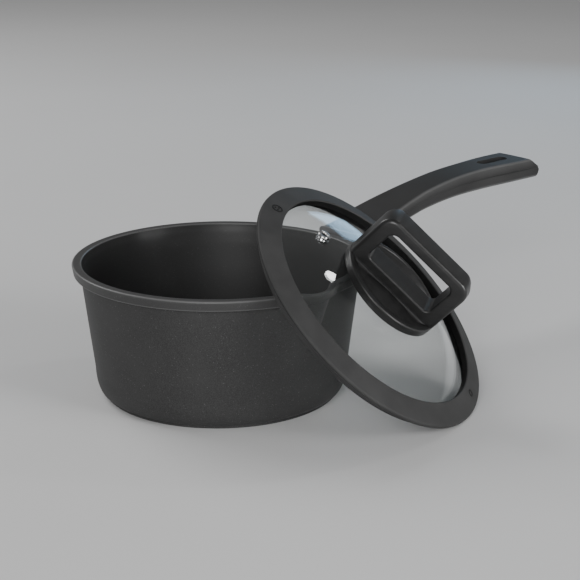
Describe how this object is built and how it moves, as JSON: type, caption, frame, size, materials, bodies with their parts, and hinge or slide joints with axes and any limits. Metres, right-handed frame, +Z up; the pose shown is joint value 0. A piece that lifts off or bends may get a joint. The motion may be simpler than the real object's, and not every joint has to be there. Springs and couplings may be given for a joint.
{
  "type": "saucepan with glass lid",
  "caption": "Round cast saucepan with a pouring spout and a long curved grip, and a domed glass lid with an upright frame knob leaning on its rim.",
  "frame": {"origin": "centre of the pan's base face, on the table", "axes": "+Z up, +X along the handle, pouring spout towards -Y"},
  "size_m": [0.3884, 0.2569, 0.1341],
  "materials": {
    "cast_coating": "cast aluminium under a dark grey speckled non-stick coating, satin",
    "base_steel": "turned stainless steel disc",
    "guard_steel": "brushed stainless steel",
    "grip_plastic": "matte soft-touch black phenolic",
    "screw_steel": "plain stainless steel",
    "lid_glass": "clear tempered glass",
    "rim_silicone": "matte dark grey silicone",
    "vent_chrome": "polished",
    "knob_plastic": "black phenolic with a soft gloss",
    "insert_brass": "turned brass",
    "seal_silicone": "smooth silicone"
  },
  "bodies": {
    "pan": {"pan_body": "cast_coating", "base_plate": "base_steel", "flame_guard": "guard_steel", "handle_grip": "grip_plastic", "handle_screw": "screw_steel", "handle_washer": "screw_steel"},
    "lid": {"lid_glass": "lid_glass", "silicone_rim": "rim_silicone", "vent_grommet": "vent_chrome", "vent_collar": "vent_chrome", "knob_body": "knob_plastic", "knob_insert": "insert_brass", "knob_gasket": "seal_silicone", "knob_seal": "seal_silicone", "knob_washer": "screw_steel", "knob_screw": "screw_steel"}
  },
  "joints": [
    {"name": "lid_lift", "type": "slide", "parent": "pan", "child": "lid", "axis": [0.3124, -0.6321, 0.7091], "range_m": [0, 0.15]}
  ]
}
